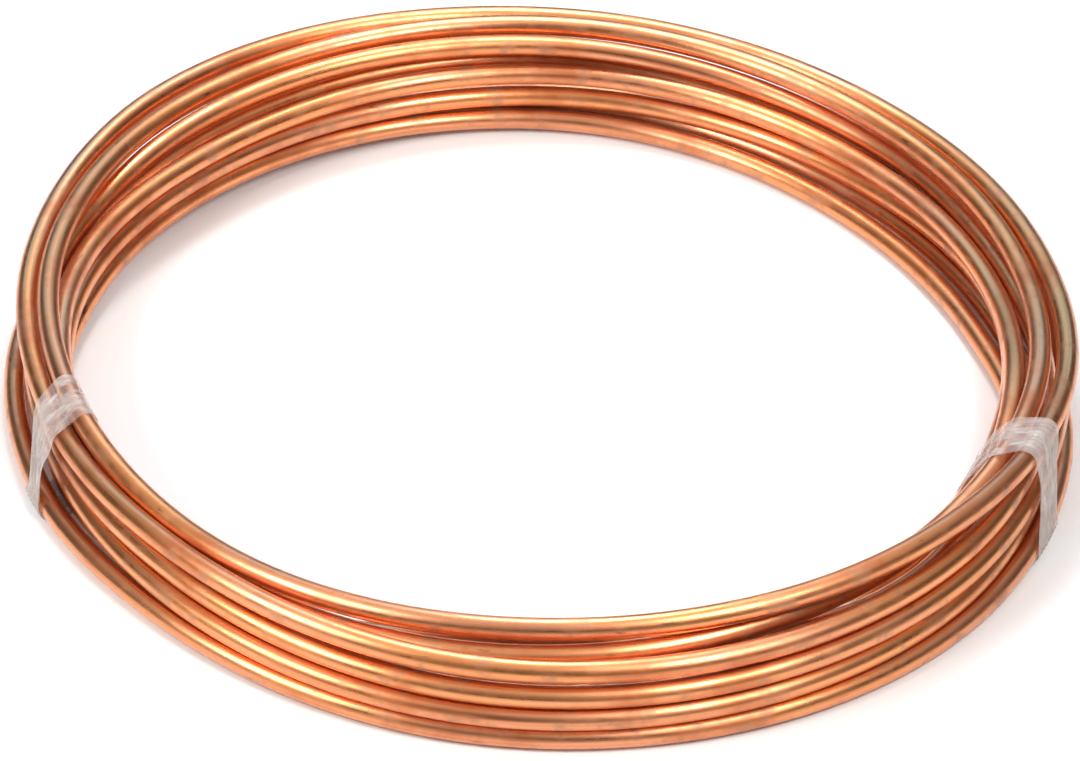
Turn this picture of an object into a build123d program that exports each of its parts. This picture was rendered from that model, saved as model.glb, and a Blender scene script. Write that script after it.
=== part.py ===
from build123d import *
import bisect
import math
import os

# A coil of soft copper tube as it is sold: one hollow tube wound into a loose ring of nearly
# nine turns that lie on and beside each other, held by two wraps of clear film tape.
# Millimetres, +Z up, the lowest turn rests on Z = 0, and angles run from +X towards +Y.

# The tube
TUBE_OD = 8.0
TUBE_WALL = 0.6

# The coil: the radius of the innermost place of a turn, on the tube's centre line, and the
# least space left between two turns
INNER_RADIUS = 171.5
TURN_GAP = 0.4

# The free ends are cut square, straight for this length
END_STRAIGHT = 20.0

# The film tape round all turns: its width along the tube, its thickness, the space between it
# and the turns, and how much higher still the lowest turn is carried where it passes over it
FILM_WIDTH = 21.0
FILM_THICKNESS = 0.3
FILM_GAP = 0.3
FILM_LIFT = 0.15
FILM_PLACES = {"tie_left": 197.0, "tie_right": 336.0}

# The lay of the turns. Each row is one turn, from the inner end of the tube to its outer end.
# Its pairs stand at the angles of LAY_ANGLES, from the front round by the right, the rear and
# the left, closer together at the sides, where the film draws the turns together. A pair gives
# the place of the tube's centre line, outwards from the innermost place and upwards from the
# lowest one, in tube diameters. The inner end springs inwards from the first place.
FIRST_ANGLE = 225.0
FIRST_PLACE = (-3.0, 0.3)
LAY_ANGLES = [270.0, 315.0, 345.0, 375.0, 405.0, 450.0, 495.0, 525.0, 555.0, 585.0]
LAY = [
    [(-0.9, 0.1), (0.6, 0.3), (0.95, 0.35), (-0.8, 0.2), (-1.12, 0.0),
     (0.1, 0.2), (0.5, 0.6), (0.6, 0.6), (0.8, 0.05), (-0.3, 0.1)],
    [(0.45, 0.6), (0.0, 1.4), (0.0, 2.1), (0.35, 1.5), (0.1, 1.15),
     (0.5, 1.35), (0.4, 1.75), (0.75, 1.7), (0.05, 1.45), (-0.4, 1.15)],
    [(-0.75, 2.85), (0.85, 1.75), (0.15, 3.1), (-0.15, 2.55), (0.05, 2.15),
     (0.5, 2.6), (0.3, 2.8), (0.85, 2.75), (0.05, 2.45), (-0.5, 2.15)],
    [(0.45, 2.85), (0.4, 2.9), (1.0, 3.75), (1.0, 3.6), (1.35, 3.5),
     (1.95, 4.25), (2.45, 4.15), (1.5, 4.25), (0.1, 3.8), (-0.65, 3.2)],
    [(-0.1, 3.85), (1.3, 4.1), (2.3, 4.15), (2.05, 3.85), (2.4, 3.55),
     (3.0, 4.2), (3.5, 4.6), (2.45, 3.9), (0.8, 3.2), (0.2, 3.3)],
    [(1.35, 3.15), (2.0, 2.95), (1.6, 2.95), (0.9, 2.5), (1.25, 2.57),
     (0.95, 4.05), (1.4, 4.05), (1.7, 2.8), (0.65, 2.35), (0.25, 2.2)],
    [(1.65, 2.05), (2.3, 2.0), (2.0, 1.95), (2.2, 2.25), (1.2, 1.4),
     (1.5, 2.75), (1.3, 2.75), (2.1, 1.5), (0.8, 1.1), (0.75, 1.15)],
    [(1.9, 1.0), (2.4, 1.0), (1.55, 0.95), (0.15, 0.3), (0.0, 0.1),
     (1.3, 0.3), (1.7, 0.9), (2.85, 0.4), (2.0, 0.1), (1.15, 0.05)],
    [(1.95, 0.0), (2.85, 0.0), (2.55, 0.3), (1.55, 0.4), (1.9, 0.3),
     (2.5, 0.1), (2.9, 0.1), (3.6, 0.1)],
]
START_ANGLE = 250.0
END_ANGLE = 3380.0

# The turns are followed at points this far apart, and pushed clear of each other in this many
# rounds. Two points nearer than the smallest distance count as that far apart.
POINT_STEP = 10.0
SETTLING_ROUNDS = 400
SMALLEST = 0.001


def smooth_between(stops, places, at):
    """A value on the smooth curve through the places that stand at these stops."""
    low = min(max(bisect.bisect_right(stops, at) - 1, 0), len(stops) - 2)
    before = max(low - 1, 0)
    after = min(low + 2, len(stops) - 1)
    width = stops[low + 1] - stops[low]
    leave = (places[low + 1] - places[before]) / (stops[low + 1] - stops[before]) * width
    arrive = (places[after] - places[low]) / (stops[after] - stops[low]) * width
    share = (at - stops[low]) / width
    square = share * share
    cube = square * share
    value = (2 * cube - 3 * square + 1) * places[low] + (cube - 2 * square + share) * leave
    return value + (3 * square - 2 * cube) * places[low + 1] + (cube - square) * arrive


def drawn_turns():
    """The route as laid by hand: its angles, and its points outwards and upwards."""
    stops = [FIRST_ANGLE]
    places = [FIRST_PLACE]
    for number, turn in enumerate(LAY):
        stops += [angle + 360 * number for angle in LAY_ANGLES[:len(turn)]]
        places += turn
    outwards = [place[0] for place in places]
    upwards = [place[1] for place in places]
    count = round((END_ANGLE - START_ANGLE) / POINT_STEP) + 1
    angles = [START_ANGLE + index * POINT_STEP for index in range(count)]
    drawn = []
    for angle in angles:
        drawn.append([smooth_between(stops, outwards, angle), smooth_between(stops, upwards, angle)])
    return angles, drawn


def lowest_height(angle):
    """How high the lowest turn lies: on the floor, or on the film where the film passes under."""
    film = (FILM_GAP + FILM_THICKNESS + FILM_LIFT) / TUBE_OD
    reach = math.degrees(FILM_WIDTH / 2 / INNER_RADIUS) + POINT_STEP
    for place in FILM_PLACES.values():
        if abs((angle - place + 180) % 360 - 180) < reach:
            return film
    return 0.0


def push_apart(first, second, least):
    """Move two short stretches of tube apart, each by half of what their middles lack."""
    across = sum(point[0] for point in second) / len(second)
    across -= sum(point[0] for point in first) / len(first)
    along = sum(point[1] for point in second) / len(second)
    along -= sum(point[1] for point in first) / len(first)
    distance = math.hypot(across, along)
    if distance < least:
        share = (least - distance) / max(distance, SMALLEST) / 2
        for stretch, way in ((first, -share), (second, share)):
            for point in stretch:
                point[0] += across * way
                point[1] += along * way


def settled_turns():
    """The route with its turns pushed clear of each other, each push spread along the tube."""
    angles, drawn = drawn_turns()
    points = [list(point) for point in drawn]
    count = len(points)
    per_turn = round(360 / POINT_STEP)
    least = 1 + TURN_GAP / TUBE_OD
    floors = [lowest_height(angle) for angle in angles]
    for round_number in range(SETTLING_ROUNDS):
        for low in range(count):
            for high in range(low + per_turn, count, per_turn):
                push_apart(points[low:low + 1], points[high:high + 1], least)
                push_apart(points[low:low + 2], points[high:high + 2], least)
            points[low][1] = max(points[low][1], floors[low])
        spread = 0.25 * (1 - round_number / SETTLING_ROUNDS)
        moves = [(p[0] - d[0], p[1] - d[1]) for p, d in zip(points, drawn)]
        for index in range(count):
            before = moves[max(index - 1, 0)]
            after = moves[min(index + 1, count - 1)]
            for axis in (0, 1):
                shared = spread * (before[axis] + after[axis]) + (1 - 2 * spread) * moves[index][axis]
                points[index][axis] = drawn[index][axis] + shared
    for point, low in zip(points, floors):
        point[1] = max(point[1], low)
    return angles, points


ANGLES, TURNS = settled_turns()


def centre_of_coil():
    """The coil's axis, placed so that the whole coil stands centred on the origin."""
    radii = [INNER_RADIUS + point[0] * TUBE_OD for point in TURNS]
    across = [r * math.cos(math.radians(a)) for r, a in zip(radii, ANGLES)]
    along = [r * math.sin(math.radians(a)) for r, a in zip(radii, ANGLES)]
    return -(max(across) + min(across)) / 2, -(max(along) + min(along)) / 2


CENTRE_X, CENTRE_Y = centre_of_coil()


def point_on_route(angle, place):
    """A point of the tube's centre line from its angle and its place in the cross-section."""
    radius = INNER_RADIUS + place[0] * TUBE_OD
    turn = math.radians(angle)
    x = CENTRE_X + radius * math.cos(turn)
    y = CENTRE_Y + radius * math.sin(turn)
    return Vector(x, y, TUBE_OD / 2 + place[1] * TUBE_OD)


def directions(points):
    """The tube's direction at each point, from its two neighbours."""
    inner = [(after - before).normalized() for before, after in zip(points, points[2:])]
    first = ((points[1] - points[0]).normalized() * 2 - inner[0]).normalized()
    last = ((points[-1] - points[-2]).normalized() * 2 - inner[-1]).normalized()
    return [first] + inner + [last]


def meeting_point(start, leave, end, arrive):
    """Where two arcs meet that lead from one point and direction to the next, with no kink."""
    chord = end - start
    both = leave + arrive
    turn = 2 * (1 - leave.dot(arrive))
    along = chord.dot(both)
    reach = (math.sqrt(along * along + turn * chord.dot(chord)) - along) / turn
    return (start + end + (leave - arrive) * reach) * 0.5


# The route of the tube: a straight end, pairs of arcs that meet without a kink, a straight end
stations = [point_on_route(angle, place) for angle, place in zip(ANGLES, TURNS)]
headings = directions(stations)
inner_tip = stations[0] - headings[0] * END_STRAIGHT
outer_tip = stations[-1] + headings[-1] * END_STRAIGHT
runs = [Edge.make_line(inner_tip, stations[0])]
for start, leave, end, arrive in zip(stations, headings, stations[1:], headings[1:]):
    middle = meeting_point(start, leave, end, arrive)
    runs.append(Edge.make_tangent_arc(start, leave, middle))
    runs.append(Edge.make_tangent_arc(end, arrive * -1, middle))
runs.append(Edge.make_line(stations[-1], outer_tip))
route = Wire(runs)

with BuildPart() as copper_tube:
    with BuildSketch(Plane(origin=inner_tip, z_dir=headings[0])):
        Circle(TUBE_OD / 2)
        Circle(TUBE_OD / 2 - TUBE_WALL, mode=Mode.SUBTRACT)
    sweep(path=route)


def outer_outline(centres):
    """The corners of the smallest outline round a set of points, one after the other."""
    ordered = sorted(set(centres))
    halves = []
    for side in (ordered, ordered[::-1]):
        corners = []
        for point in side:
            while len(corners) > 1:
                (ax, az), (bx, bz) = corners[-2:]
                if (bx - ax) * (point[1] - az) - (bz - az) * (point[0] - ax) > 0:
                    break
                corners.pop()
            corners.append(point)
        halves.append(corners[:-1])
    return halves[0] + halves[1]


def film_round_turns(place):
    """The outline that the film is drawn round: the tube centres along the film's width."""
    half = math.degrees(FILM_WIDTH / 2 / INNER_RADIUS)
    outwards = [point[0] for point in TURNS]
    upwards = [point[1] for point in TURNS]
    centres = []
    for turn in range(len(LAY)):
        for side in (-half, 0, half):
            angle = place + side + 360 * turn
            if ANGLES[0] <= angle <= ANGLES[-1]:
                out = smooth_between(ANGLES, outwards, angle)
                up = smooth_between(ANGLES, upwards, angle)
                centres.append((INNER_RADIUS + out * TUBE_OD, TUBE_OD / 2 + up * TUBE_OD))
    return outer_outline(centres)


# The two wraps of film tape, each a thin closed band drawn tight round all turns
ties = []
coil_axis = Axis((CENTRE_X, CENTRE_Y, 0), (0, 0, 1))
for name, place in FILM_PLACES.items():
    width = math.degrees(FILM_WIDTH / INNER_RADIUS)
    side = math.radians(place - width / 2)
    outwards = (math.cos(side), math.sin(side), 0)
    section = Plane(origin=coil_axis.position, x_dir=outwards, z_dir=(outwards[1], -outwards[0], 0))
    outline = film_round_turns(place)
    inside = TUBE_OD / 2 + FILM_GAP
    with BuildPart() as tie:
        with BuildSketch(section):
            with BuildLine():
                Polyline(*outline, close=True)
            make_face()
            hollow = offset(amount=inside, kind=Kind.ARC, mode=Mode.PRIVATE)
            offset(amount=inside + FILM_THICKNESS, kind=Kind.ARC)
            add(hollow, mode=Mode.SUBTRACT)
        revolve(axis=coil_axis, revolution_arc=width)
    tie.part.label = name
    ties.append(tie.part)

copper_tube.part.label = "copper_tube"

os.makedirs("parts", exist_ok=True)
for piece in [copper_tube.part] + ties:
    export_step(piece, "parts/" + piece.label + ".step")

section_area = math.pi * (TUBE_OD - TUBE_WALL) * TUBE_WALL
print("tube length", round(route.length), "mm")
print("tube volume", round(copper_tube.part.volume), "against", round(section_area * route.length))
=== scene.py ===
import bisect
import math

import bpy
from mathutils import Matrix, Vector


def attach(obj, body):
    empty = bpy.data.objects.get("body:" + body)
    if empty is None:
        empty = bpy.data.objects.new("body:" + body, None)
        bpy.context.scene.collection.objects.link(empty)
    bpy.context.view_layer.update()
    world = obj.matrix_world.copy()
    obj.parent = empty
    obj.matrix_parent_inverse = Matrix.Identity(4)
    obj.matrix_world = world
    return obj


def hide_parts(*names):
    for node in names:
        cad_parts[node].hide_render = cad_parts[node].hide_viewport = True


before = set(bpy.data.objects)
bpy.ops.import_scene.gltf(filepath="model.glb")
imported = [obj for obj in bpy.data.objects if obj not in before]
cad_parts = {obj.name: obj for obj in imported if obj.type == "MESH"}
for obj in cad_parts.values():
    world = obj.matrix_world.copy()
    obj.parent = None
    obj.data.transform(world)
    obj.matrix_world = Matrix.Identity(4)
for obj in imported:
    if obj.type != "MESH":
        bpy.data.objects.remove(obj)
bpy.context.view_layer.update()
bpy.ops.object.select_all(action="DESELECT")

# The copper tube: one length of soft drawn copper, wound into nearly nine loose turns that lie
# on and beside each other. It was cut with a wheel cutter, which turns the edge in at both ends.
# Angles are in degrees from +X towards +Y, places in tube diameters, all else in metres.
TUBE_OD = 0.008
TUBE_WALL = 0.0006
INNER_RADIUS = 0.1715
TURN_GAP = 0.0004
END_STRAIGHT = 0.020
CUT_EDGE = 0.0009
CUT_TURNED_IN = 0.07
TUBE_SIDES = 28
TUBE_SMOOTH_BELOW = 40.0
ROUTE_STEP = 2.25

# The film draws the turns together here, and the lowest turn lies on it
FILM_WIDTH = 0.021
FILM_HEIGHT = 0.00075
FILM_PLACES = {"tie_left": 197.0, "tie_right": 336.0}

# The lay of the turns, one row each from the inner end to the outer one, at LAY_ANGLES
FIRST_ANGLE = 225.0
FIRST_PLACE = (-3.0, 0.3)
LAY_ANGLES = [270.0, 315.0, 345.0, 375.0, 405.0, 450.0, 495.0, 525.0, 555.0, 585.0]
LAY = [
    [(-0.9, 0.1), (0.6, 0.3), (0.95, 0.35), (-0.8, 0.2), (-1.12, 0.0),
     (0.1, 0.2), (0.5, 0.6), (0.6, 0.6), (0.8, 0.05), (-0.3, 0.1)],
    [(0.45, 0.6), (0.0, 1.4), (0.0, 2.1), (0.35, 1.5), (0.1, 1.15),
     (0.5, 1.35), (0.4, 1.75), (0.75, 1.7), (0.05, 1.45), (-0.4, 1.15)],
    [(-0.75, 2.85), (0.85, 1.75), (0.15, 3.1), (-0.15, 2.55), (0.05, 2.15),
     (0.5, 2.6), (0.3, 2.8), (0.85, 2.75), (0.05, 2.45), (-0.5, 2.15)],
    [(0.45, 2.85), (0.4, 2.9), (1.0, 3.75), (1.0, 3.6), (1.35, 3.5),
     (1.95, 4.25), (2.45, 4.15), (1.5, 4.25), (0.1, 3.8), (-0.65, 3.2)],
    [(-0.1, 3.85), (1.3, 4.1), (2.3, 4.15), (2.05, 3.85), (2.4, 3.55),
     (3.0, 4.2), (3.5, 4.6), (2.45, 3.9), (0.8, 3.2), (0.2, 3.3)],
    [(1.35, 3.15), (2.0, 2.95), (1.6, 2.95), (0.9, 2.5), (1.25, 2.57),
     (0.95, 4.05), (1.4, 4.05), (1.7, 2.8), (0.65, 2.35), (0.25, 2.2)],
    [(1.65, 2.05), (2.3, 2.0), (2.0, 1.95), (2.2, 2.25), (1.2, 1.4),
     (1.5, 2.75), (1.3, 2.75), (2.1, 1.5), (0.8, 1.1), (0.75, 1.15)],
    [(1.9, 1.0), (2.4, 1.0), (1.55, 0.95), (0.15, 0.3), (0.0, 0.1),
     (1.3, 0.3), (1.7, 0.9), (2.85, 0.4), (2.0, 0.1), (1.15, 0.05)],
    [(1.95, 0.0), (2.85, 0.0), (2.55, 0.3), (1.55, 0.4), (1.9, 0.3),
     (2.5, 0.1), (2.9, 0.1), (3.6, 0.1)],
]
START_ANGLE = 250.0
END_ANGLE = 3380.0
POINT_STEP = 10.0
SETTLING_ROUNDS = 400
FIRST_SPREAD = 0.25
LEAST_DIVISOR = 0.001


def smooth_between(stops, places, at):
    """A value on the smooth curve through the places that stand at these stops."""
    low = min(max(bisect.bisect_right(stops, at) - 1, 0), len(stops) - 2)
    before = max(low - 1, 0)
    after = min(low + 2, len(stops) - 1)
    width = stops[low + 1] - stops[low]
    leave = (places[low + 1] - places[before]) / (stops[low + 1] - stops[before]) * width
    arrive = (places[after] - places[low]) / (stops[after] - stops[low]) * width
    share = (at - stops[low]) / width
    square = share * share
    cube = square * share
    value = (2 * cube - 3 * square + 1) * places[low] + (cube - 2 * square + share) * leave
    return value + (3 * square - 2 * cube) * places[low + 1] + (cube - square) * arrive


def laid_turns():
    """The route as listed: its angles, and its points outwards and upwards."""
    stops = [FIRST_ANGLE]
    places = [FIRST_PLACE]
    for number, turn in enumerate(LAY):
        stops += [angle + 360 * number for angle in LAY_ANGLES[:len(turn)]]
        places += turn
    outwards = [place[0] for place in places]
    upwards = [place[1] for place in places]
    count = round((END_ANGLE - START_ANGLE) / POINT_STEP) + 1
    angles = [START_ANGLE + index * POINT_STEP for index in range(count)]
    laid = []
    for angle in angles:
        out = smooth_between(stops, outwards, angle)
        laid.append([out, smooth_between(stops, upwards, angle)])
    return angles, laid


def lowest_height(angle):
    """How high the lowest turn lies: on the floor, or on the film where the film passes under."""
    reach = math.degrees(FILM_WIDTH / 2 / INNER_RADIUS) + POINT_STEP
    for place in FILM_PLACES.values():
        if abs((angle - place + 180) % 360 - 180) < reach:
            return FILM_HEIGHT / TUBE_OD
    return 0.0


def push_apart(first, second, least):
    """Move two short stretches of tube apart, each by half of what their middles lack."""
    outward = sum(point[0] for point in second) / len(second)
    outward -= sum(point[0] for point in first) / len(first)
    upward = sum(point[1] for point in second) / len(second)
    upward -= sum(point[1] for point in first) / len(first)
    distance = math.hypot(outward, upward)
    if distance < least:
        share = (least - distance) / max(distance, LEAST_DIVISOR) / 2
        for stretch, way in ((first, -share), (second, share)):
            for point in stretch:
                point[0] += outward * way
                point[1] += upward * way


def settled_turns():
    """The route with its turns pushed clear of each other, each push spread along the tube."""
    angles, laid = laid_turns()
    points = [list(point) for point in laid]
    count = len(points)
    per_turn = round(360 / POINT_STEP)
    least = 1 + TURN_GAP / TUBE_OD
    floors = [lowest_height(angle) for angle in angles]
    for round_number in range(SETTLING_ROUNDS):
        for here in range(count):
            for beyond in range(here + per_turn, count, per_turn):
                push_apart(points[here:here + 1], points[beyond:beyond + 1], least)
                push_apart(points[here:here + 2], points[beyond:beyond + 2], least)
            points[here][1] = max(points[here][1], floors[here])
        spread = FIRST_SPREAD * (1 - round_number / SETTLING_ROUNDS)
        moves = [(point[0] - start[0], point[1] - start[1])
                 for point, start in zip(points, laid)]
        for index in range(count):
            before = moves[max(index - 1, 0)]
            after = moves[min(index + 1, count - 1)]
            for axis in (0, 1):
                kept = (1 - 2 * spread) * moves[index][axis]
                points[index][axis] = laid[index][axis] + (
                    spread * (before[axis] + after[axis]) + kept)
    for point, lowest in zip(points, floors):
        point[1] = max(point[1], lowest)
    return angles, points


ANGLES, TURNS = settled_turns()
OUTWARDS = [point[0] for point in TURNS]
UPWARDS = [point[1] for point in TURNS]


def centre_of_coil():
    """The coil's axis, placed so that the whole coil stands centred on the origin."""
    radii = [INNER_RADIUS + out * TUBE_OD for out in OUTWARDS]
    across = [r * math.cos(math.radians(a)) for r, a in zip(radii, ANGLES)]
    along = [r * math.sin(math.radians(a)) for r, a in zip(radii, ANGLES)]
    return -(max(across) + min(across)) / 2, -(max(along) + min(along)) / 2


CENTRE_X, CENTRE_Y = centre_of_coil()


def section_place(angle):
    """The tube's centre line at this angle: its radius and its height."""
    out = smooth_between(ANGLES, OUTWARDS, angle)
    up = smooth_between(ANGLES, UPWARDS, angle)
    return INNER_RADIUS + out * TUBE_OD, TUBE_OD / 2 + up * TUBE_OD


def round_axis(angle, radius, height):
    """A point at this angle round the coil's axis."""
    turn = math.radians(angle)
    return Vector((CENTRE_X + radius * math.cos(turn), CENTRE_Y + radius * math.sin(turn), height))


def straight_end(first, second, third):
    """The points of a straight cut end, from its tip to the first point of the turns."""
    heading = ((second - first).normalized() * 2 - (third - first).normalized()).normalized()
    backs = [0, CUT_EDGE / 4, CUT_EDGE / 2, CUT_EDGE, END_STRAIGHT / 3, END_STRAIGHT * 2 / 3]
    return [first - heading * (END_STRAIGHT - back) for back in backs]


def tube_route():
    """The points of the tube's centre line, from the tip of the inner end to that of the outer."""
    count = round((END_ANGLE - START_ANGLE) / ROUTE_STEP)
    angles = [START_ANGLE + (END_ANGLE - START_ANGLE) * index / count
              for index in range(count + 1)]
    turns = [round_axis(angle, *section_place(angle)) for angle in angles]
    coarse = [round_axis(angle, *section_place(angle)) for angle in ANGLES]
    inner = straight_end(*coarse[:3])
    outer = straight_end(*coarse[:-4:-1])
    return inner + turns + outer[::-1]


def faces_between(rings, around):
    """The faces that join each ring of points to the next one."""
    faces = []
    for here in range(0, (rings - 1) * around, around):
        beyond = here + around
        for side in range(around):
            following = (side + 1) % around
            faces.append((here + side, beyond + side, beyond + following, here + following))
    return faces


def thickened(name, mesh, thickness, offset, smooth_below):
    """The finished object: a surface given its thickness, with its gentle edges smooth."""
    piece = bpy.data.objects.new(name, mesh)
    bpy.context.collection.objects.link(piece)
    bpy.context.view_layer.objects.active = piece
    piece.select_set(True)
    wall = piece.modifiers.new("wall", "SOLIDIFY")
    wall.thickness = thickness
    wall.offset = offset
    bpy.ops.object.modifier_apply(modifier=wall.name)
    bpy.ops.object.shade_smooth_by_angle(angle=math.radians(smooth_below))
    piece.select_set(False)
    return piece


def tube_rings(route, lengths):
    """The corners of the outer wall, ring by ring, and where each stands in the straight tube."""
    corners = []
    in_straight_tube = []
    for index, middle in enumerate(route):
        heading = route[min(index + 1, len(route) - 1)] - route[max(index - 1, 0)]
        outward = heading.cross(Vector((0, 0, 1))).normalized()
        upward = outward.cross(heading).normalized()
        from_end = min(lengths[index], lengths[-1] - lengths[index])
        turned_in = CUT_TURNED_IN * max(0, 1 - from_end / CUT_EDGE) ** 2
        radius = TUBE_OD / 2 * (1 - turned_in)
        for side in range(TUBE_SIDES):
            turn = 2 * math.pi * side / TUBE_SIDES
            offset = outward * math.cos(turn) + upward * math.sin(turn)
            corners.append(middle + offset * radius)
            in_straight_tube += [math.cos(turn) * TUBE_OD / 2, math.sin(turn) * TUBE_OD / 2,
                                 lengths[index]]
    return corners, in_straight_tube


def make_tube():
    """The tube's outer wall, ring by ring, thickened inwards into a hollow tube."""
    route = tube_route()
    lengths = [0.0]
    for before, after in zip(route, route[1:]):
        lengths.append(lengths[-1] + (after - before).length)
    corners, in_straight_tube = tube_rings(route, lengths)
    wraps = []
    for start, end in zip(lengths, lengths[1:]):
        for side in range(TUBE_SIDES):
            left = side / TUBE_SIDES
            right = (side + 1) / TUBE_SIDES
            wraps += [left, start, left, end, right, end, right, start]
    mesh = bpy.data.meshes.new("copper_tube_visual")
    mesh.from_pydata(corners, [], faces_between(len(route), TUBE_SIDES))
    drawn = mesh.attributes.new("drawn", "FLOAT_VECTOR", "POINT")
    drawn.data.foreach_set("vector", in_straight_tube)
    mesh.uv_layers.new(name="wrap").data.foreach_set("uv", wraps)
    return thickened("copper_tube_visual", mesh, TUBE_WALL, -1, TUBE_SMOOTH_BELOW)


def joined(tree, socket, source):
    """Give a socket its value: a link where the source is another socket, else the value."""
    if isinstance(source, bpy.types.NodeSocket):
        tree.links.new(source, socket)
    else:
        socket.default_value = source


def noise(tree, coordinates, stretch, detail, roughness=0.5):
    """A noise pattern. stretch is how many of its marks there are in a metre, each way."""
    mapping = tree.nodes.new("ShaderNodeMapping")
    mapping.inputs["Scale"].default_value = stretch
    tree.links.new(coordinates, mapping.inputs["Vector"])
    texture = tree.nodes.new("ShaderNodeTexNoise")
    texture.inputs["Scale"].default_value = 1
    texture.inputs["Detail"].default_value = detail
    texture.inputs["Roughness"].default_value = roughness
    tree.links.new(mapping.outputs["Vector"], texture.inputs["Vector"])
    return texture.outputs["Fac"]


def ranged(tree, value, from_low, from_high, to_low, to_high):
    """The value carried from one range to another, and held at its ends."""
    node = tree.nodes.new("ShaderNodeMapRange")
    node.interpolation_type = "SMOOTHSTEP"
    for name, number in (("From Min", from_low), ("From Max", from_high),
                         ("To Min", to_low), ("To Max", to_high)):
        node.inputs[name].default_value = number
    tree.links.new(value, node.inputs["Value"])
    return node.outputs["Result"]


def mixed(tree, share, first, second):
    """Two colours mixed by a share."""
    node = tree.nodes.new("ShaderNodeMix")
    node.data_type = "RGBA"
    joined(tree, node.inputs["Factor"], share)
    joined(tree, node.inputs["A"], first)
    joined(tree, node.inputs["B"], second)
    return node.outputs["Result"]


def combined(tree, operation, first, second):
    """Two numbers worked together."""
    node = tree.nodes.new("ShaderNodeMath")
    node.operation = operation
    joined(tree, node.inputs[0], first)
    joined(tree, node.inputs[1], second)
    return node.outputs["Value"]


def copper_finish():
    """Satin drawn copper: lengthwise draw lines, a warm tarnish that comes and goes, smudges."""
    material = bpy.data.materials.new("satin_drawn_copper")
    material.use_nodes = True
    tree = material.node_tree
    shader = tree.nodes["Principled BSDF"]
    drawn = tree.nodes.new("ShaderNodeAttribute")
    drawn.attribute_name = "drawn"
    place = tree.nodes.new("ShaderNodeTexCoord").outputs["Object"]
    lines = noise(tree, drawn.outputs["Vector"], (1500, 1500, 9), 3)
    stretches = noise(tree, drawn.outputs["Vector"], (30, 30, 6), 2)
    tarnish = noise(tree, place, (28, 28, 28), 4, 0.6)
    smears = noise(tree, drawn.outputs["Vector"], (170, 170, 7), 2)
    mottle = noise(tree, place, (95, 95, 95), 3, 0.6)
    spots = noise(tree, drawn.outputs["Vector"], (220, 220, 60), 3, 0.65)

    fresh = (0.90, 0.36, 0.135, 1)
    rosy = (0.84, 0.37, 0.20, 1)
    brown = (0.60, 0.17, 0.055, 1)
    dull = (0.50, 0.27, 0.16, 1)
    smudge = (0.24, 0.08, 0.04, 1)
    colour = mixed(tree, ranged(tree, stretches, 0.42, 0.62, 0, 0.8), fresh, rosy)
    colour = mixed(tree, ranged(tree, tarnish, 0.48, 0.68, 0, 0.70), colour, brown)
    colour = mixed(tree, ranged(tree, mottle, 0.54, 0.68, 0, 0.55), colour, dull)
    colour = mixed(tree, ranged(tree, smears, 0.58, 0.62, 0, 0.40), colour, brown)
    colour = mixed(tree, ranged(tree, lines, 0.35, 0.75, 0, 0.35), colour, brown)
    colour = mixed(tree, ranged(tree, spots, 0.66, 0.76, 0, 0.7), colour, smudge)
    tree.links.new(colour, shader.inputs["Base Color"])

    dullness = ranged(tree, tarnish, 0.35, 0.75, 0.32, 0.44)
    dullness = combined(tree, "ADD", dullness, ranged(tree, mottle, 0.50, 0.68, -0.03, 0.10))
    dullness = combined(tree, "ADD", dullness, ranged(tree, lines, 0.3, 0.7, -0.04, 0.06))
    tree.links.new(dullness, shader.inputs["Roughness"])
    shader.inputs["Metallic"].default_value = 1
    shader.inputs["Anisotropic"].default_value = 0.55
    shader.inputs["Coat Weight"].default_value = 0.5
    shader.inputs["Coat Roughness"].default_value = 0.24
    around = tree.nodes.new("ShaderNodeTangent")
    around.direction_type = "UV_MAP"
    around.uv_map = "wrap"
    tree.links.new(around.outputs["Tangent"], shader.inputs["Tangent"])

    waves = noise(tree, drawn.outputs["Vector"], (90, 90, 22), 2)
    height = combined(tree, "ADD", combined(tree, "MULTIPLY", lines, 0.12), waves)
    bump = tree.nodes.new("ShaderNodeBump")
    bump.inputs["Distance"].default_value = 0.00012
    bump.inputs["Strength"].default_value = 0.6
    tree.links.new(height, bump.inputs["Height"])
    tree.links.new(bump.outputs["Normal"], shader.inputs["Normal"])
    return material


copper_tube = make_tube()
copper_tube.data.materials.append(copper_finish())
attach(copper_tube, "root")
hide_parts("copper_tube")

# The two ties: clear film tape, wound tightly round all turns and crumpled into pleats. It lies
# wide and frosted on top, and is pulled together into a narrow strip on the outer side. The stops
# are shares of the way round, from the inner side under the turns, up the outer side and back.
FILM_GAP = 0.00030
FILM_THICKNESS = 0.00012
FILM_FLAT_WIDTH = 0.024
FILM_PATTERN_LENGTH = 0.12
FILM_SMOOTH_BELOW = 60.0
PLEAT_LEAST = 0.00012
PLEAT_MOST = 0.0010
FILM_ROUND = 220
FILM_ACROSS = 36
FILM_STOPS = [0.0, 0.2, 0.36, 0.46, 0.56, 0.66, 0.85, 1.0]
FILM_SHAPES = {
    "tie_left": {
        "widths": [0.022, 0.021, 0.018, 0.011, 0.010, 0.018, 0.023, 0.022],
        "slants": [0.0, 0.0, 0.006, 0.007, 0.003, 0.0, -0.002, 0.0],
        "pleats": 7,
    },
    "tie_right": {
        "widths": [0.022, 0.021, 0.018, 0.014, 0.014, 0.018, 0.022, 0.022],
        "slants": [0.0, 0.0, -0.005, -0.003, 0.0, 0.002, 0.002, 0.0],
        "pleats": 9,
    },
}


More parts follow.
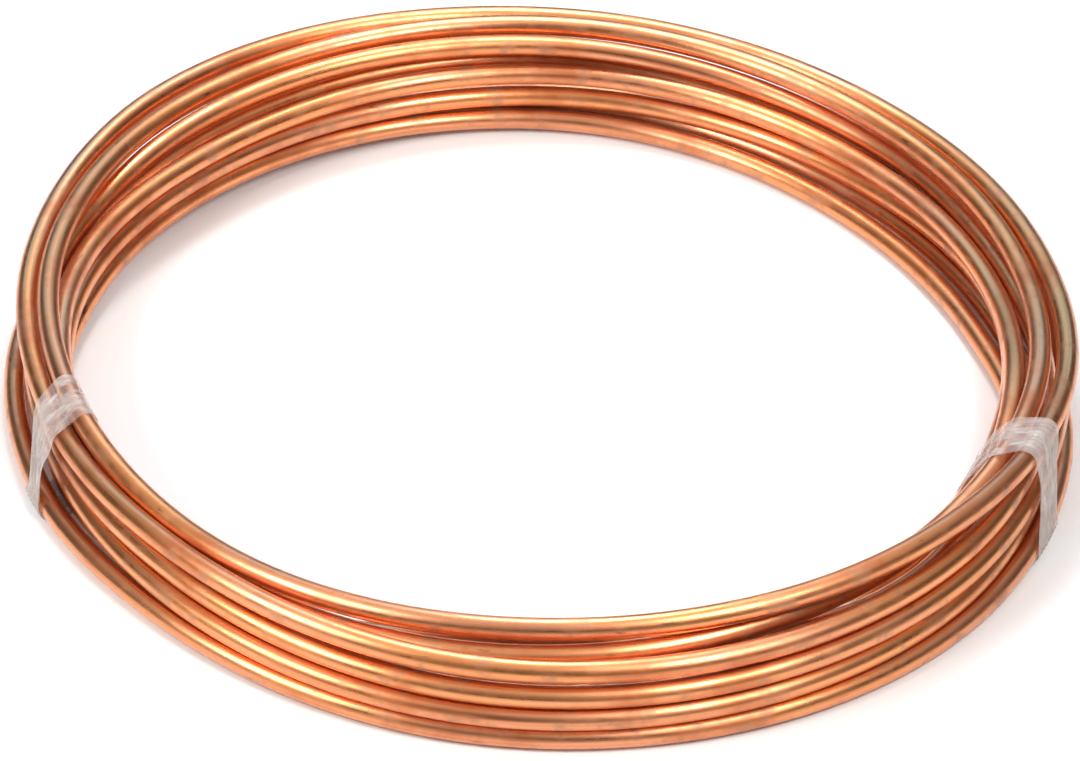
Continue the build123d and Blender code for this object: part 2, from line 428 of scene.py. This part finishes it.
def outer_outline(centres):
    """The corners of the smallest outline round a set of points, one after the other."""
    ordered = sorted(set(centres))
    halves = []
    for side in (ordered, ordered[::-1]):
        corners = []
        for point in side:
            while len(corners) > 1:
                (ax, az), (bx, bz) = corners[-2:]
                if (bx - ax) * (point[1] - az) - (bz - az) * (point[0] - ax) > 0:
                    break
                corners.pop()
            corners.append(point)
        halves.append(corners[:-1])
    return halves[0] + halves[1]


def film_spans(angle, reach):
    """The line round all turns at this angle, as straight spans and arcs in order."""
    centres = []
    for turn in range(len(LAY)):
        at = angle + 360 * turn
        if ANGLES[0] <= at <= ANGLES[-1]:
            centres.append(section_place(at))
    corners = outer_outline(centres)
    spans = []
    facing = -math.pi
    for corner, following in zip(corners, corners[1:] + corners[:1]):
        across = following[0] - corner[0]
        upward = following[1] - corner[1]
        turned = math.atan2(-across, upward)
        while turned < facing:
            turned += 2 * math.pi
        spans.append((corner, facing, turned, (turned - facing) * reach))
        spans.append((corner, turned, turned, math.hypot(across, upward)))
        facing = turned
    spans.append((corners[0], facing, math.pi, (math.pi - facing) * reach))
    return spans


def film_point(spans, share, reach):
    """A point on that line, at a share of its length, and the way that it faces."""
    left = share * sum(span[3] for span in spans)
    for corner, start, end, length in spans:
        if left <= length or (corner, start, end, length) == spans[-1]:
            break
        left -= length
    part = left / length if length else 0
    facing = start + (end - start) * part
    radius = corner[0] + reach * math.cos(facing)
    height = corner[1] + reach * math.sin(facing)
    if start == end:
        radius -= math.sin(facing) * left
        height += math.cos(facing) * left
    return radius, height, facing


def pleat_wave(side, share, pleats):
    """How far a pleat stands up at this place on the film, from none to one and a half."""
    turn = side * pleats * 2 * math.pi
    wave = math.sin(turn + 2.2 * math.sin(share * 9 + side * 3))
    wave += 0.5 * math.sin(turn * 1.9 + 5 * math.sin(share * 13 + 1))
    return (wave + 1.5) / 2


def make_tie(name, place, shape):
    """One wrap of film: a closed band in a grid of points, pleated lengthwise, then thickened."""
    reach = TUBE_OD / 2 + FILM_GAP
    corners = []
    grid = []
    pulled = []
    for column in range(FILM_ACROSS + 1):
        side = column / FILM_ACROSS - 0.5
        for row in range(FILM_ROUND):
            share = row / FILM_ROUND
            width = smooth_between(FILM_STOPS, shape["widths"], share)
            slant = smooth_between(FILM_STOPS, shape["slants"], share)
            angle = place + math.degrees((side * width + slant) / INNER_RADIUS)
            spans = film_spans(round(angle, 1), reach)
            radius, height, facing = film_point(spans, share, reach)
            gathered = 1 - width / FILM_FLAT_WIDTH
            rise = PLEAT_LEAST + PLEAT_MOST * max(gathered, 0)
            rise *= pleat_wave(side, share, shape["pleats"])
            above_floor = max(height + rise * math.sin(facing), FILM_THICKNESS)
            corners.append(round_axis(angle, radius + rise * math.cos(facing), above_floor))
            grid += [side * width, share * FILM_PATTERN_LENGTH, 0]
            pulled.append(min(max(gathered * 2, 0), 1))
    mesh = bpy.data.meshes.new(name + "_film")
    mesh.from_pydata(corners, [], faces_between(FILM_ACROSS + 1, FILM_ROUND))
    mesh.attributes.new("film", "FLOAT_VECTOR", "POINT").data.foreach_set("vector", grid)
    mesh.attributes.new("pulled", "FLOAT", "POINT").data.foreach_set("value", pulled)
    return thickened(name + "_film", mesh, FILM_THICKNESS, 1, FILM_SMOOTH_BELOW)


def film_finish():
    """Clear film gone milky where it is creased and where it lies in several layers."""
    material = bpy.data.materials.new("clear_film_tape")
    material.use_nodes = True
    tree = material.node_tree
    shader = tree.nodes["Principled BSDF"]
    film = tree.nodes.new("ShaderNodeAttribute")
    film.attribute_name = "film"
    pulled = tree.nodes.new("ShaderNodeAttribute")
    pulled.attribute_name = "pulled"
    creases = noise(tree, film.outputs["Vector"], (300, 90, 1), 3, 0.5)
    layers = noise(tree, film.outputs["Vector"], (130, 80, 1), 2)
    shader.inputs["Base Color"].default_value = (0.72, 0.66, 0.62, 1)
    shader.inputs["Roughness"].default_value = 0.30
    shader.inputs["IOR"].default_value = 1.48
    cloud = ranged(tree, layers, 0.38, 0.62, 0.06, 0.30)
    cloud = combined(tree, "ADD", cloud, ranged(tree, creases, 0.48, 0.68, 0, 0.30))
    cloud = combined(tree, "ADD", cloud, combined(tree, "MULTIPLY", pulled.outputs["Fac"], 0.38))
    tree.links.new(cloud, shader.inputs["Alpha"])
    bump = tree.nodes.new("ShaderNodeBump")
    bump.inputs["Distance"].default_value = 0.0012
    tree.links.new(creases, bump.inputs["Height"])
    tree.links.new(bump.outputs["Normal"], shader.inputs["Normal"])
    return material


film_material = film_finish()
for tie_name, tie_place in FILM_PLACES.items():
    tie = make_tie(tie_name, tie_place, FILM_SHAPES[tie_name])
    tie.data.materials.append(film_material)
    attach(tie, "root")
    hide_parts(tie_name)

# The floor: a plain white sheet that the coil lies on, and which keeps the coil's soft shadow.
# A faint glow is added where the camera, or a reflection, sees it.
FLOOR_SIZE = 12.0
FLOOR_GLOW = 0.05

bpy.ops.mesh.primitive_plane_add(size=FLOOR_SIZE, location=(0, 0, 0))
floor = bpy.context.object
floor.name = "floor"
floor_material = bpy.data.materials.new("white_floor")
floor_material.use_nodes = True
floor_tree = floor_material.node_tree
floor_shader = floor_tree.nodes["Principled BSDF"]
floor_shader.inputs["Base Color"].default_value = (0.92, 0.92, 0.92, 1)
floor_shader.inputs["Roughness"].default_value = 1
floor_shader.inputs["Specular IOR Level"].default_value = 0
floor_shader.inputs["Emission Color"].default_value = (1, 1, 1, 1)
ray = floor_tree.nodes.new("ShaderNodeLightPath").outputs
seen = combined(floor_tree, "MAXIMUM", ray["Is Camera Ray"], ray["Is Glossy Ray"])
seen = combined(floor_tree, "MAXIMUM", seen, ray["Is Transmission Ray"])
glow = combined(floor_tree, "MULTIPLY", seen, FLOOR_GLOW)
floor_tree.links.new(glow, floor_shader.inputs["Emission Strength"])
floor.data.materials.append(floor_material)

# The light: a slightly warm room, bright overhead and dark towards the horizon. Two softboxes
# stand in front of the coil and one above its rear, and a cool pale wall stands behind it.
ROOM_COLOUR = (1.0, 0.93, 0.88, 1)
ROOM_LOW = 0.07
ROOM_HIGH = 0.80
ROOM_BRIGHTENS_FROM = 0.45

world = bpy.data.worlds.new("studio")
bpy.context.scene.world = world
world.use_nodes = True
room = world.node_tree.nodes["Background"]
room.inputs["Color"].default_value = ROOM_COLOUR
upward = world.node_tree.nodes.new("ShaderNodeSeparateXYZ")
looking = world.node_tree.nodes.new("ShaderNodeTexCoord").outputs["Generated"]
world.node_tree.links.new(looking, upward.inputs[0])
strength = ranged(world.node_tree, upward.outputs["Z"], ROOM_BRIGHTENS_FROM, 1, ROOM_LOW,
                  ROOM_HIGH)
world.node_tree.links.new(strength, room.inputs["Strength"])


def softbox(name, place, size, power, colour=(1, 1, 1)):
    """A rectangular light that faces the coil."""
    lamp = bpy.data.lights.new(name, "AREA")
    lamp.shape = "RECTANGLE"
    lamp.size, lamp.size_y = size
    lamp.energy = power
    lamp.color = colour
    holder = bpy.data.objects.new(name, lamp)
    holder.location = place
    holder.rotation_euler = (-Vector(place)).to_track_quat("-Z", "Y").to_euler()
    bpy.context.collection.objects.link(holder)


softbox("softbox_left", (-0.84, -0.46, 0.80), (0.46, 0.46), 7.6)
softbox("softbox_right", (0.44, -0.56, 1.00), (0.38, 0.38), 6.4)
softbox("softbox_behind", (-0.02, 0.52, 0.95), (0.24, 0.32), 3.8)
softbox("wall_behind", (0.0, 1.7, 1.3), (2.6, 0.7), 8.5, (0.26, 0.64, 1.0))

# The camera: a long lens, in front of the coil and well above it, aimed just below its middle.
IMAGE_WIDTH = 1080
SENSOR_WIDTH = 36
FOCAL_PIXELS = 4670
COIL_ABOVE_MIDDLE = 19.5
CAMERA_ELEVATION = math.radians(38.0)
CAMERA_DISTANCE = 1.70
COIL_MIDDLE_HEIGHT = 0.018

camera_data = bpy.data.cameras.new("camera")
camera_data.sensor_width = SENSOR_WIDTH
camera_data.lens = FOCAL_PIXELS / IMAGE_WIDTH * SENSOR_WIDTH
camera = bpy.data.objects.new("camera", camera_data)
bpy.context.collection.objects.link(camera)
back = Vector((0, -math.cos(CAMERA_ELEVATION), math.sin(CAMERA_ELEVATION)))
above = Vector((0, math.sin(CAMERA_ELEVATION), math.cos(CAMERA_ELEVATION)))
lowered = COIL_ABOVE_MIDDLE / FOCAL_PIXELS * CAMERA_DISTANCE
coil_middle = Vector((CENTRE_X, CENTRE_Y, COIL_MIDDLE_HEIGHT))
camera.location = coil_middle + back * CAMERA_DISTANCE - above * lowered
camera.rotation_euler = (math.pi / 2 - CAMERA_ELEVATION, 0, 0)
bpy.context.scene.camera = camera
bpy.context.scene.view_settings.view_transform = "Standard"
